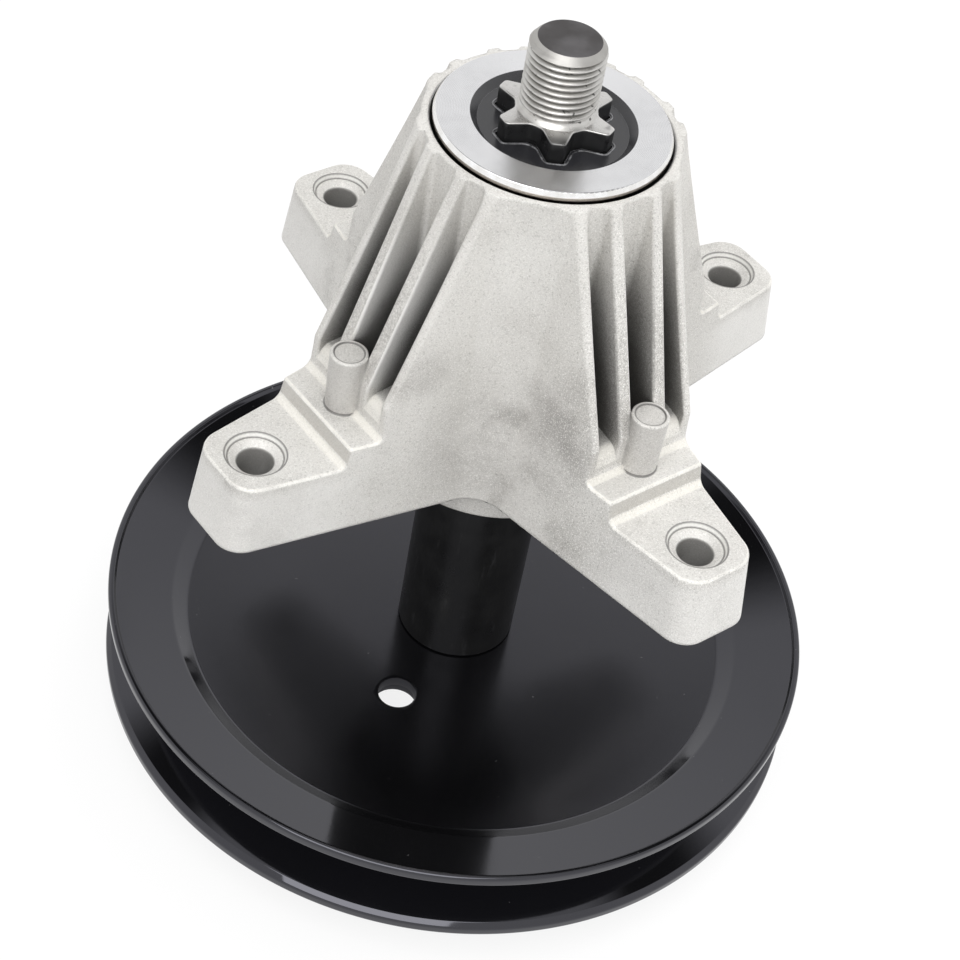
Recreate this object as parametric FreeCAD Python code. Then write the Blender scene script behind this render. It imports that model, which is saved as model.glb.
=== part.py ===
import FreeCAD, Part
import math
import os
from FreeCAD import Vector

# Mower deck spindle, in millimetres.
# The origin is on the shaft axis in the plane of the ears' deck faces.
# +Z points along the shaft towards the blade.

# Housing body
wings = 4
rim_height = 78.2
core_radius = 26.7
fan_top_radius = 27.8
fan_foot_reach = 43.6
fan_foot_height = 29.8
side_taper = 9.9
side_draft = 3.65
valley_radius = 9.0
valley_rim_radius = 40.0
valley_rim_reach = 26.3
valley_rim_half_width = 7.5
valley_knee_reach = 58.0
valley_rim_margin = 1.2
pilot_radius = 27.0
pilot_depth = 7.8
pilot_chamfer = 0.8

# Ears
bolt_spacing = 92.3
bolt_hole_radius = 3.87
ear_half_width = 11.45
ear_overhang = 11.4
ear_end_draft = 7.9
ear_corner_radius = 6.0
pad_height = 16.5
cast_edge_radius = 0.7
spotface_radius = 6.4
spotface_depth = 1.05
spotface_draft = 20.0
lead_radius = 5.4
lead_depth = 1.3
ledge_height = 21.5
ledge_reach = 50.7
riser_draft = 12.0
step_fillet = 2.0
ledge_edge_radius = 0.8

# Rib fans
rib_outer_face = 6.3
middle_groove_rim = 4.05
middle_groove_foot = 2.8
border_rib_face = 11.3
groove_draft = 1.5
groove_fillet = 1.2
groove_end_height = 27.6
groove_end_slope = 8.0
groove_lip_height = 24.8
groove_lip_slope = 65.0
groove_lip_radius = 3.0
crest_radius = 0.6

# Corner bosses
boss_height = 35.6
boss_reach = 44.3
boss_foot_radius = 3.8
boss_top_radius = 4.05
boss_edge_radius = 0.4
pin_mark_radius = 3.2
pin_mark_depth = 0.25

# Mouth
mouth_radius = 25.0
mouth_chamfer = 0.4
mouth_floor_gap = 1.0

# Bearings, two alike
bearing_bore = 20.0
bearing_outside = 47.0
bearing_width = 14.0
bearing_edge = 0.8
ball_count = 8
ball_diameter = 7.938
ball_clearance = 0.08
inner_shoulder_radius = 14.25
outer_shoulder_radius = 19.25
cage_inner_radius = 15.7
cage_outer_radius = 17.8
cage_width = 9.5
pocket_clearance = 0.13
seal_thickness = 1.3
seal_recess = 0.4
seal_groove_radius = 20.5
seal_lip_gap = 0.2
lower_bearing_recess = 0.8
cored_bore_radius = 20.0

# Blade seat hub
seat_height = 1.75
seat_radius = 24.5
seat_inner_radius = 17.1
seat_bevel_width = 0.5
seat_bevel_height = 1.0
seat_edge_radius = 0.3
dish_floor_radius = 15.5
dish_depth = 1.5
seat_hub_thickness = 7.0
star_clearance = 0.2

# Shaft
collar_radius = 14.0
collar_thickness = 3.0
star_points = 6
star_tip_radius = 12.7
star_tip_half_width = 1.5
star_root_radius = 8.0
star_root_half_width = 3.1
star_turn = -81.5
star_stand = 2.9
star_edge_radius = 0.7
thread_radius = 7.94
thread_tip_radius = 6.43
tip_chamfer = 1.5
relief_radius = 7.0
relief_length = 1.3
blade_thread_length = 16.2
pulley_thread_length = 26.5
flat_width = 13.0
shoulder_gap = 1.0
bore_clearance = 0.1

# Pulley and its spacer
web_drop = 68.5
spacer_radius = 14.0
spacer_edge = 0.5
sheet = 2.66
rim_radius = 84.45
ramp_radius = 69.2
ramp_run = 3.8
ramp_rise = 2.8
lip_foot_radius = 82.6
lip_foot_rise = 6.9
lip_rise = 8.0
lip_wall = 0.5
rim_face = 2.3
bend_radius = 1.2
web_bend_radius = 1.5
flank_bend_radius = 8.0
lip_radius = 0.35
rolled_edge_radius = 0.9
web_hole_radius = 4.4
lower_web_hole_radius = 5.2
web_hole_reach = 30.2
web_hole_turn = -108.7

# Pulley nut
nut_across_flats = 23.8
nut_height = 14.3
nut_flange_radius = 16.0
nut_flange_height = 2.6
nut_chamfer = 30.0
thread_clearance = 0.02

# Places along the shaft, worked out from the sizes above
ear_reach = bolt_spacing / math.sqrt(2.0)
ear_end_reach = ear_reach + ear_overhang
seat_face = rim_height + seat_height
seat_hub_bottom = seat_face - seat_hub_thickness
upper_bearing_top = seat_hub_bottom - collar_thickness
upper_bearing_bottom = upper_bearing_top - bearing_width
mouth_floor = upper_bearing_top + mouth_floor_gap
lower_bearing_bottom = -pilot_depth + lower_bearing_recess
lower_bearing_top = lower_bearing_bottom + bearing_width
web_top = -web_drop
web_edge_radius = ramp_radius - ramp_run
mating_plane = web_top - sheet
web_bottom = mating_plane - sheet
star_top = seat_face + star_stand
shaft_tip = star_top + blade_thread_length
shaft_end = web_top + shoulder_gap - pulley_thread_length
bearing_bore_radius = bearing_bore / 2.0
bearing_radius = bearing_outside / 2.0
ball_radius = ball_diameter / 2.0
pitch_radius = (bearing_bore_radius + bearing_radius) / 2.0
axis = Vector(0, 0, 1)
origin = Vector(0, 0, 0)


def disc(radius, bottom, top):
    """Solid round bar between two heights."""
    return Part.makeCylinder(radius, top - bottom, Vector(0, 0, bottom))


def tube(inner, outer, bottom, top):
    """Round tube between two heights."""
    return disc(outer, bottom, top).cut(disc(inner, bottom, top))


def turned(corners, radius_at=None):
    """Closed outline of (radius, height) corners turned about the shaft axis."""
    outline = rounded(corners, radius_at or {}, lambda r, z: Vector(r, 0, z))
    return Part.Face(outline).revolve(origin, axis, 360)


def rounded(corners, radius_at, place):
    """Closed wire through the corners, with a tangent arc at each listed corner."""
    points = [place(*corner) for corner in corners]
    count = len(points)
    starts = []
    ends = []
    arcs = []
    for i, point in enumerate(points):
        back = (points[i - 1] - point).normalize()
        ahead = (points[(i + 1) % count] - point).normalize()
        radius = radius_at.get(i, 0)
        if not radius:
            starts.append(point)
            ends.append(point)
            arcs.append(None)
            continue
        half = back.getAngle(ahead) / 2
        reach = radius / math.tan(half)
        middle = (back + ahead).normalize() * (radius / math.sin(half) - radius)
        starts.append(point + back * reach)
        ends.append(point + ahead * reach)
        arcs.append(point + middle)
    edges = []
    for i in range(count):
        if arcs[i]:
            edges.append(Part.Arc(starts[i], arcs[i], ends[i]).toShape())
        edges.append(Part.LineSegment(ends[i], starts[(i + 1) % count]).toShape())
    return Part.Wire(edges)


def turn(shape, degrees):
    """Copy of a shape turned about the shaft axis."""
    copy = shape.copy()
    copy.rotate(origin, axis, degrees)
    return copy


def side_at(reach, height):
    """Half width of a wing at a distance along its diagonal and a height."""
    narrowing = math.tan(math.radians(side_taper)) * (ear_reach - reach)
    return ear_half_width + narrowing - math.tan(math.radians(side_draft)) * height


def valley_point(across, along, sign, height):
    """Point beside the line half way between two wings, in the plan of the wing on one side of it."""
    return Vector((along + across) / math.sqrt(2), sign * (along - across) / math.sqrt(2), height)


def wing_half(height, outer, sign):
    """Half a valley's arc, the panel beside it and the wing's side, as four points and the arc's middle.

    At the deck plane the arc is tangent to the wing's flat side. At the rim it is nearly straight,
    and the panel goes on along its tangent to just outside the rim.
    """
    at_rim = height >= rim_height
    angle = math.radians(45 - side_taper)
    corner = math.sqrt(2) * side_at(0, height) / (1 + math.tan(math.radians(side_taper)))
    radius = valley_rim_radius if at_rim else valley_radius
    end = math.asin(valley_rim_half_width / radius) if at_rim else angle
    middle = valley_rim_reach if at_rim else corner + valley_radius * (1 / math.cos(angle) - 1)

    def on_arc(turned_by):
        along = middle + radius * (1 - math.cos(turned_by))
        return valley_point(radius * math.sin(turned_by), along, sign, height)

    knee = Vector(valley_knee_reach, sign * side_at(valley_knee_reach, height), height)
    if at_rim:
        along = middle + radius * (1 - math.cos(end)) + valley_rim_margin * math.sin(end)
        knee = valley_point(radius * math.sin(end) + valley_rim_margin * math.cos(end), along, sign, height)
    tip = Vector(outer, sign * side_at(outer, height), height)
    return on_arc(0), on_arc(end / 2), on_arc(end), knee, tip


def wing_section(height, outer):
    """One quarter of the plan at the deck plane or at the rim, with half a valley at each side."""
    left = wing_half(height, outer, 1)
    right = wing_half(height, outer, -1)
    heart = Vector(0, 0, height)
    path = [heart, right[0]]
    ends = [right[2], right[3], right[4], left[4], left[3], left[2]]
    edges = [Part.LineSegment(*path).toShape(), Part.Arc(*right[:3]).toShape()]
    edges += [Part.LineSegment(start, stop).toShape() for start, stop in zip(ends, ends[1:])]
    edges += [Part.Arc(left[2], left[1], left[0]).toShape(), Part.LineSegment(left[0], heart).toShape()]
    return Part.Wire(edges)


def fan_face(half_width):
    """Body under the ribs' crests, from the round rim to the straight foot of the fan."""
    edge = math.sqrt(fan_top_radius ** 2 - half_width ** 2)
    inner = [Vector(0, sign * half_width, rim_height) for sign in (-1, 1)]
    outer = [Vector(edge, sign * half_width, rim_height) for sign in (-1, 1)]
    top = Part.Wire([
        Part.LineSegment(inner[0], outer[0]).toShape(),
        Part.Arc(outer[0], Vector(fan_top_radius, 0, rim_height), outer[1]).toShape(),
        Part.LineSegment(outer[1], inner[1]).toShape(),
        Part.LineSegment(inner[1], inner[0]).toShape(),
    ])
    corners = ((0, -1), (fan_foot_reach, -1), (fan_foot_reach, 1), (0, 1), (0, -1))
    foot = Part.makePolygon([Vector(u, sign * half_width, fan_foot_height) for u, sign in corners])
    return Part.makeLoft([foot, top], True, True)


def ear_profile(half_width):
    """Stepped body below the fan: foot, ledge, riser and pad, as seen from the wing's side."""
    riser = math.tan(math.radians(riser_draft)) * (ledge_height - pad_height)
    end = math.tan(math.radians(ear_end_draft)) * pad_height
    corners = [
        (0, 0), (ear_end_reach, 0), (ear_end_reach - end, pad_height),
        (ledge_reach + riser, pad_height), (ledge_reach, ledge_height),
        (fan_foot_reach, ledge_height), (fan_foot_reach, fan_foot_height), (0, fan_foot_height)]
    radii = {3: step_fillet, 4: ledge_edge_radius, 5: step_fillet}
    outline = rounded(corners, radii, lambda u, z: Vector(u, -half_width, z))
    return Part.Face(outline).extrude(Vector(0, 2 * half_width, 0))


def groove(rim_low, rim_high, foot_low, foot_high):
    """Cutter for one groove of a fan: drafted walls, the core as its floor, a sloped lower end."""
    reach = ledge_reach
    narrow = math.tan(math.radians(groove_draft)) * (reach - fan_foot_reach)
    deep = math.tan(math.radians(groove_draft)) * (reach - core_radius) - narrow
    below = fan_foot_height / (rim_height - fan_foot_height)
    base_low = foot_low + (foot_low - rim_low) * below
    base_high = foot_high + (foot_high - rim_high) * below
    inner = core_radius / 2
    sections = []
    for height, low, high in ((0, base_low, base_high), (rim_height, rim_low, rim_high)):
        sections.append(Part.makePolygon([
            Vector(inner, low + deep, height), Vector(reach, low - narrow, height),
            Vector(reach, high + narrow, height), Vector(inner, high - deep, height),
            Vector(inner, low + deep, height)]))
    walls = Part.makeLoft(sections, True, True)
    gentle = math.tan(math.radians(groove_end_slope))
    steep = math.tan(math.radians(groove_lip_slope))
    bend = (groove_end_height - groove_lip_height) / (steep - gentle)
    past = step_fillet / 2
    side = 2 * border_rib_face
    above = rounded([
        (0, groove_end_height + gentle * fan_foot_reach),
        (fan_foot_reach - bend, groove_end_height + gentle * bend),
        (fan_foot_reach + past, groove_lip_height - steep * past),
        (reach, groove_lip_height - steep * past), (reach, rim_height), (0, rim_height)],
        {1: groove_lip_radius}, lambda u, z: Vector(u, -side, z))
    cutter = walls.common(Part.Face(above).extrude(Vector(0, 2 * side, 0)))
    cutter = cutter.cut(disc(core_radius, 0, rim_height))
    floor = [e for e in climbing(cutter) if all(near(math.hypot(v.X, v.Y), core_radius) for v in e.Vertexes)]
    return cutter.makeFillet(groove_fillet, floor)


def climbing(shape):
    """Edges that rise through at least a quarter of the housing's height."""
    return [e for e in shape.Edges
            if len(e.Vertexes) == 2 and abs(e.Vertexes[0].Z - e.Vertexes[1].Z) > rim_height / 4]


def near(value, target):
    """Whether two sizes agree."""
    return abs(value - target) < 0.01


def outer_edges(body):
    """Edges at the corners of the fan's foot and round the end of the pad."""
    foot = [e for e in body.Edges
            if any(near(v.X, fan_foot_reach) and near(v.Z, fan_foot_height) for v in e.Vertexes)]
    pad = [e for e in body.Edges if all(near(v.Z, pad_height) and v.X > ear_reach for v in e.Vertexes)]
    return foot + pad


def rib_crests(body):
    """Edges where the grooves break through the fan's outer face."""
    middle = (core_radius + fan_foot_reach) / 2
    widest = border_rib_face + crest_radius
    return [e for e in climbing(body)
            if max(v.X for v in e.Vertexes) > middle
            and max(abs(v.Y) for v in e.Vertexes) < widest
            and min(abs(v.Y) for v in e.Vertexes) > middle_groove_foot / 2]


def boss():
    """Tapered round boss on the ledge, with the ring left by an ejector pin on its top."""
    reach = boss_reach
    body = Part.makeCone(boss_foot_radius, boss_top_radius, boss_height - pad_height,
                         Vector(reach, 0, pad_height))
    rim = [e for e in body.Edges if all(abs(v.Z - boss_height) < 0.01 for v in e.Vertexes)]
    body = body.makeFillet(boss_edge_radius, [e for e in rim if e.Closed])
    mark = Part.makeCylinder(pin_mark_radius, pin_mark_depth, Vector(reach, 0, boss_height - pin_mark_depth))
    return body.cut(mark)


def bolt_hole():
    """Cutter for one bolt hole: shallow spotface, conical lead and clear hole."""
    floor = pad_height - spotface_depth
    inset = math.tan(math.radians(spotface_draft)) * spotface_depth
    foot = Vector(ear_reach, 0, floor)
    spot = Part.makeCone(spotface_radius - inset, spotface_radius, spotface_depth, foot)
    lead = Part.makeCone(bolt_hole_radius, lead_radius, lead_depth, foot - axis * lead_depth)
    clear = Part.makeCylinder(bolt_hole_radius, 2 * pad_height, Vector(ear_reach, 0, -pad_height))
    return clear.fuse([spot, lead])


def wing():
    """One corner of the housing: ear, ledge, boss and fan of ribs."""
    outer = ear_end_reach + ear_corner_radius
    walls = Part.makeLoft([wing_section(0, outer), wing_section(rim_height, outer)], True, True)
    half_width = fan_top_radius * math.sin(math.radians(60))
    body = ear_profile(half_width).fuse(fan_face(half_width)).common(walls)
    ends = [e for e in body.Edges if all(v.X > ear_reach and v.Y * e.Vertexes[0].Y > 0 for v in e.Vertexes)]
    ends = [e for e in ends if abs(e.Vertexes[0].Z - e.Vertexes[1].Z) > pad_height / 2]
    body = body.makeFillet(ear_corner_radius, ends)
    body = body.makeFillet(cast_edge_radius, outer_edges(body))
    for cutter in (groove(-middle_groove_rim, middle_groove_rim, -middle_groove_foot, middle_groove_foot),
                   groove(rib_outer_face, border_rib_face, rib_outer_face, border_rib_face),
                   groove(-border_rib_face, -rib_outer_face, -border_rib_face, -rib_outer_face)):
        body = body.cut(cutter)
    body = body.makeFillet(crest_radius, rib_crests(body))
    return body.fuse(boss()).cut(bolt_hole())


def spindle_housing():
    """Cast body: core with a pilot below the deck plane, four wings, mouth and two bearing seats."""
    corner = wing()
    corners = [turn(corner, 45 + k * 360.0 / wings) for k in range(wings)]
    core = disc(core_radius, 0, rim_height)
    pilot = turned([(0, 0), (0, -pilot_depth), (pilot_radius - pilot_chamfer, -pilot_depth),
                    (pilot_radius, pilot_chamfer - pilot_depth), (pilot_radius, 0)])
    body = core.fuse(corners + [pilot]).removeSplitter()
    bore = turned([
        (0, -2 * pilot_depth), (bearing_radius, -2 * pilot_depth), (bearing_radius, lower_bearing_top),
        (cored_bore_radius, lower_bearing_top), (cored_bore_radius, upper_bearing_bottom),
        (bearing_radius, upper_bearing_bottom), (bearing_radius, mouth_floor), (mouth_radius, mouth_floor),
        (mouth_radius, rim_height - mouth_chamfer), (mouth_radius + mouth_chamfer, rim_height),
        (mouth_radius + mouth_chamfer, 2 * rim_height), (0, 2 * rim_height)])
    return body.cut(bore)


def star_outline(height, gap):
    """Six-point star: flat-tipped teeth with straight flanks, grown by a gap on every side."""
    tip = star_tip_radius + gap
    root = star_root_radius + gap
    tip_half = star_tip_half_width + gap
    root_half = star_root_half_width + gap
    corners = []
    radii = {}
    for k in range(star_points):
        heading = math.radians(star_turn + k * 360.0 / star_points)
        for along, across in ((root, -root_half), (tip, -tip_half), (tip, tip_half), (root, root_half)):
            x = along * math.cos(heading) - across * math.sin(heading)
            y = along * math.sin(heading) + across * math.cos(heading)
            radii[len(corners)] = star_edge_radius
            corners.append((x, y))
    return rounded(corners, radii, lambda x, y: Vector(x, y, height))


def star_bar(bottom, top, gap=0.0):
    """Straight bar of star section between two heights."""
    return Part.Face(star_outline(bottom, gap)).extrude(Vector(0, 0, top - bottom))


def spindle_shaft():
    """Turned shaft: chamfered blade thread, star, collar, bearing journal, flats and pulley thread."""
    shoulder = web_top + shoulder_gap
    body = turned([
        (0, shaft_end), (thread_tip_radius, shaft_end), (thread_radius, shaft_end + tip_chamfer),
        (thread_radius, shoulder), (bearing_bore_radius, shoulder),
        (bearing_bore_radius, upper_bearing_top), (collar_radius, upper_bearing_top),
        (collar_radius, seat_hub_bottom), (star_root_radius, seat_hub_bottom),
        (star_root_radius, star_top), (relief_radius, star_top), (relief_radius, star_top + relief_length),
        (thread_radius, star_top + relief_length + thread_radius - relief_radius),
        (thread_radius, shaft_tip - tip_chamfer), (thread_tip_radius, shaft_tip), (0, shaft_tip)])
    body = body.fuse(star_bar(seat_hub_bottom, star_top))
    return body.common(between_flats(shaft_end, mating_plane - sheet, web_top, 0.0)).removeSplitter()


def between_flats(bottom, low, high, gap):
    """Room for a shaft whose middle stretch carries two flats."""
    wide = 2 * star_tip_radius
    flat = flat_width / 2 + gap
    below = disc(wide, bottom, low)
    above = disc(wide, high, shaft_tip)
    middle = Part.makeBox(2 * wide, 2 * flat, high - low, Vector(-wide, -flat, low))
    return below.fuse([middle, above])


def blade_seat_hub():
    """Turned disc with a bevelled seat face, a shallow dish and a star hole."""
    body = turned([
        (0, seat_hub_bottom), (seat_radius, seat_hub_bottom), (seat_radius, seat_face - seat_bevel_height),
        (seat_radius - seat_bevel_width, seat_face), (seat_inner_radius, seat_face),
        (dish_floor_radius, seat_face - dish_depth), (0, seat_face - dish_depth)],
        {2: seat_edge_radius, 3: seat_edge_radius})
    return body.cut(star_bar(seat_hub_bottom - dish_depth, seat_face, star_clearance))


def raceway(middle):
    """Round channel that the balls roll in, with their running clearance."""
    return Part.makeTorus(pitch_radius, ball_radius + ball_clearance, Vector(0, 0, middle))


def bearing_outer_ring(bottom):
    """Hardened ring with a ball channel and a seal groove at each face."""
    top = bottom + bearing_width
    depth = seal_recess + seal_thickness
    body = turned([
        (seal_groove_radius, bottom), (bearing_radius - bearing_edge, bottom),
        (bearing_radius, bottom + bearing_edge), (bearing_radius, top - bearing_edge),
        (bearing_radius - bearing_edge, top), (seal_groove_radius, top),
        (seal_groove_radius, top - depth), (outer_shoulder_radius, top - depth),
        (outer_shoulder_radius, bottom + depth), (seal_groove_radius, bottom + depth)])
    return body.cut(raceway(bottom + bearing_width / 2))


def bearing_inner_ring(bottom):
    """Hardened ring on the journal with a ball channel outside."""
    top = bottom + bearing_width
    body = turned([
        (bearing_bore_radius, bottom), (inner_shoulder_radius, bottom),
        (inner_shoulder_radius, top), (bearing_bore_radius, top)])
    return body.cut(raceway(bottom + bearing_width / 2))


def around_pitch_circle(make):
    """One copy for each ball, evenly spaced."""
    return [turn(make(), k * 360.0 / ball_count) for k in range(ball_count)]


def bearing_balls(bottom):
    """Ring of steel balls."""
    middle = bottom + bearing_width / 2
    return Part.makeCompound(around_pitch_circle(
        lambda: Part.makeSphere(ball_radius, Vector(pitch_radius, 0, middle))))


def bearing_cage(bottom):
    """Ring with one round window for each ball."""
    middle = bottom + bearing_width / 2
    body = tube(cage_inner_radius, cage_outer_radius, middle - cage_width / 2, middle + cage_width / 2)
    windows = around_pitch_circle(
        lambda: Part.makeCylinder(ball_radius + pocket_clearance, bearing_radius, Vector(0, 0, middle),
                                  Vector(1, 0, 0)))
    return body.cut(windows)


def bearing_seal(bottom, top_side):
    """Thin rubber disc seated in the outer ring, with its lip just clear of the inner ring."""
    low = bottom + seal_recess
    if top_side:
        low = bottom + bearing_width - seal_recess - seal_thickness
    return tube(inner_shoulder_radius + seal_lip_gap, seal_groove_radius, low, low + seal_thickness)


def inner_spacer():
    """Tube that keeps the two inner rings apart."""
    return tube(bearing_bore_radius + bore_clearance, inner_shoulder_radius - bore_clearance,
                lower_bearing_top, upper_bearing_bottom)


def outer_spacer():
    """Tube from the lower inner ring to the pulley, with its edges broken."""
    top = lower_bearing_bottom
    inner = bearing_bore_radius + bore_clearance
    return turned([
        (inner, web_top), (spacer_radius - spacer_edge, web_top), (spacer_radius, web_top + spacer_edge),
        (spacer_radius, top - spacer_edge), (spacer_radius - spacer_edge, top), (inner, top)])


def pulley_half(hole_radius):
    """Upper stamped half: flat web, short ramp, groove flank and a small lip at the rim."""
    flank = math.atan2(lip_foot_rise - ramp_rise, lip_foot_radius - ramp_radius)
    ramp = math.atan2(ramp_rise, ramp_radius - web_edge_radius)
    inner_bend = sheet * math.tan(ramp / 2)
    outer_bend = sheet * math.tan((ramp + flank) / 2)
    groove_rise = (rim_radius - ramp_radius) * math.tan(flank) + ramp_rise - sheet / math.cos(flank)
    corners = [
        (thread_radius / 2, web_top), (web_edge_radius, web_top),
        (ramp_radius, web_top + ramp_rise), (lip_foot_radius, web_top + lip_foot_rise),
        (lip_foot_radius + lip_wall, web_top + lip_rise), (rim_radius, web_top + lip_rise),
        (rim_radius, web_top + lip_rise - rim_face), (rim_radius - bend_radius, web_top + groove_rise),
        (ramp_radius + outer_bend * math.sin(flank), web_top + ramp_rise - sheet),
        (web_edge_radius + inner_bend, mating_plane), (thread_radius / 2, mating_plane)]
    radii = {1: web_bend_radius, 2: flank_bend_radius, 4: lip_radius, 5: rolled_edge_radius,
             6: rolled_edge_radius, 9: bend_radius}
    body = turned(corners, radii)
    hole = Part.makeCylinder(hole_radius, 4 * sheet, Vector(web_hole_reach, 0, mating_plane - 2 * sheet))
    bore = disc(thread_radius + bore_clearance, mating_plane - sheet, web_top + sheet)
    bore = bore.common(between_flats(shaft_end, web_bottom - sheet, web_top + sheet, bore_clearance))
    return body.cut(turn(hole, web_hole_turn)).cut(bore)


def mirrored_half(shape):
    """The same stamping turned over, back to back on the mating plane."""
    return shape.mirror(Vector(0, 0, mating_plane), axis)


def pulley_nut():
    """Hex flange nut with chamfered corners."""
    bottom = web_bottom - nut_height
    flat = nut_across_flats / 2
    corner = nut_across_flats / math.sqrt(3)
    start = Vector(corner, 0, bottom)
    points = [turn(Part.Vertex(start), 60 * k).Point for k in range(7)]
    body = Part.Face(Part.makePolygon(points)).extrude(axis * nut_height)
    drop = (corner - flat) * math.tan(math.radians(nut_chamfer))
    envelope = turned([
        (0, bottom), (flat, bottom), (corner, bottom + drop), (corner, web_bottom), (0, web_bottom)])
    brim = web_bottom - nut_flange_height
    flange = turned([
        (0, brim - nut_flange_height), (flat, brim - nut_flange_height),
        (nut_flange_radius, brim + nut_flange_height / 2), (nut_flange_radius, web_bottom), (0, web_bottom)])
    bore = disc(thread_radius + thread_clearance, bottom - nut_height, web_top)
    return body.common(envelope).fuse(flange).cut(bore).removeSplitter()


os.makedirs("parts", exist_ok=True)


def save(node, shape):
    """Write one piece."""
    shape.exportStep("parts/" + node + ".step")


save("spindle_housing", spindle_housing())
save("spindle_shaft", spindle_shaft())
save("blade_seat_hub", blade_seat_hub())
for place, bottom in (("upper", upper_bearing_bottom), ("lower", lower_bearing_bottom)):
    save(place + "_bearing_outer_ring", bearing_outer_ring(bottom))
    save(place + "_bearing_inner_ring", bearing_inner_ring(bottom))
    save(place + "_bearing_balls", bearing_balls(bottom))
    save(place + "_bearing_cage", bearing_cage(bottom))
    save(place + "_bearing_top_seal", bearing_seal(bottom, True))
    save(place + "_bearing_bottom_seal", bearing_seal(bottom, False))
save("inner_spacer", inner_spacer())
save("outer_spacer", outer_spacer())
save("pulley_upper_half", pulley_half(web_hole_radius))
save("pulley_lower_half", mirrored_half(pulley_half(lower_web_hole_radius)))
save("pulley_nut", pulley_nut())
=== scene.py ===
import math
import bpy
import numpy as np
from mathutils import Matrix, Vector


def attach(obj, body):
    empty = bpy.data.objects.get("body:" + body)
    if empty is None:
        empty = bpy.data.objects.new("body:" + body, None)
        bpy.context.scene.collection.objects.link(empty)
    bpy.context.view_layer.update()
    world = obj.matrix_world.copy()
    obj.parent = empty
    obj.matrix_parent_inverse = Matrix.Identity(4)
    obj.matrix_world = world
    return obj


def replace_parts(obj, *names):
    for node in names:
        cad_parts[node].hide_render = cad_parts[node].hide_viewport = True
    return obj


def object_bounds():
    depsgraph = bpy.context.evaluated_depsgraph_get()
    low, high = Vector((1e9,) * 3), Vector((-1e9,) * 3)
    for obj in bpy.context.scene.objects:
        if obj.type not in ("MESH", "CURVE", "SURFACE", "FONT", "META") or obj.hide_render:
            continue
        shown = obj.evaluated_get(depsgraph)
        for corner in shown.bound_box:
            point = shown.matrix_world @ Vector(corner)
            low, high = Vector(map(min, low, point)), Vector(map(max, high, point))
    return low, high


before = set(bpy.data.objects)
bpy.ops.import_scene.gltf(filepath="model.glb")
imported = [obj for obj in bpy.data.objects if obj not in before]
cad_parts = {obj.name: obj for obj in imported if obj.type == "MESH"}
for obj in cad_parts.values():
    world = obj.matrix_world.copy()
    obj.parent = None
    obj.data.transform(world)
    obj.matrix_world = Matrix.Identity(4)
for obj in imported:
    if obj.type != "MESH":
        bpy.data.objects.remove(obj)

machined_box = [list(corner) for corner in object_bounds()]

# The housing: one aluminium die casting, blasted to a sandy pale grey skin.
# Edges are painted bright, partly as wear and partly as painted highlight, painted shade fills the
# deep grooves, and the bores, the pilot and the deck faces are machined.
mm = 0.001
deck_plane = 0.0
rim_plane = 78.2 * mm
mouth_radius = 25.6 * mm
pilot_radius = 27.05 * mm
pilot_end = -7.75 * mm
ear_start = 46 * mm
ear_end = 60 * mm
pad_edge = 16.1 * mm
pad_lip = 17.3 * mm
pad_riser = 19.2 * mm
ledge_edge = 21.1 * mm
ledge_lip = 24.6 * mm
bolt_centre = 46.15 * mm
bolt_hole = 3.9 * mm
spotface_floor = 5.88 * mm
spotface_wall = 6.2 * mm
spotface_edge = 6.5 * mm
boss_centre = 31.32 * mm
boss_radius = 4.3 * mm
boss_base = 21.7 * mm
boss_top = 35.2 * mm
pin_mark = 3.2 * mm
fan_half = 14.5 * mm
fan_base = 28 * mm
groove_reach = 16 * mm


def finish(name, **constants):
    """New material whose Principled shader has these sockets set directly."""
    material = bpy.data.materials.new(name)
    material.use_nodes = True
    surface = material.node_tree.nodes["Principled BSDF"]
    for socket, value in constants.items():
        surface.inputs[socket.replace("_", " ")].default_value = value
    return material, material.node_tree, surface


def plug(tree, socket, value):
    """Puts a plain number, a colour or another node's output into a socket."""
    if isinstance(value, bpy.types.NodeSocket):
        tree.links.new(value, socket)
    else:
        socket.default_value = value


def sum_of(tree, operation, first, second=0.5):
    """One step of arithmetic on numbers or outputs."""
    node = tree.nodes.new("ShaderNodeMath")
    node.operation = operation
    plug(tree, node.inputs[0], first)
    plug(tree, node.inputs[1], second)
    return node.outputs[0]


def product(tree, first, *others):
    """All of the factors multiplied together."""
    for factor in others:
        first = sum_of(tree, "MULTIPLY", first, factor)
    return first


def greatest(tree, first, *others):
    """The greatest of the values."""
    for value in others:
        first = sum_of(tree, "MAXIMUM", first, value)
    return first


def apart(tree, value, level):
    """How far a value is from a level, either way."""
    return sum_of(tree, "ABSOLUTE", sum_of(tree, "SUBTRACT", value, level))


def between(tree, value, low, high, to_low=0.0, to_high=1.0):
    """Smooth step: one number at and below the low level, another at and above the high one."""
    node = tree.nodes.new("ShaderNodeMapRange")
    node.interpolation_type = "SMOOTHSTEP"
    plug(tree, node.inputs["Value"], value)
    node.inputs["From Min"].default_value = low
    plug(tree, node.inputs["From Max"], high)
    node.inputs["To Min"].default_value = to_low
    node.inputs["To Max"].default_value = to_high
    return node.outputs["Result"]


def place_of(tree):
    """Object coordinates of the point, its height and its distance from the shaft axis."""
    where = tree.nodes.new("ShaderNodeTexCoord").outputs["Object"]
    parts = tree.nodes.new("ShaderNodeSeparateXYZ")
    tree.links.new(where, parts.inputs[0])
    flat = tree.nodes.new("ShaderNodeVectorMath")
    flat.operation = "MULTIPLY"
    tree.links.new(where, flat.inputs[0])
    flat.inputs[1].default_value = (1, 1, 0)
    length = tree.nodes.new("ShaderNodeVectorMath")
    length.operation = "LENGTH"
    tree.links.new(flat.outputs[0], length.inputs[0])
    return where, parts.outputs, length.outputs["Value"]


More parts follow.
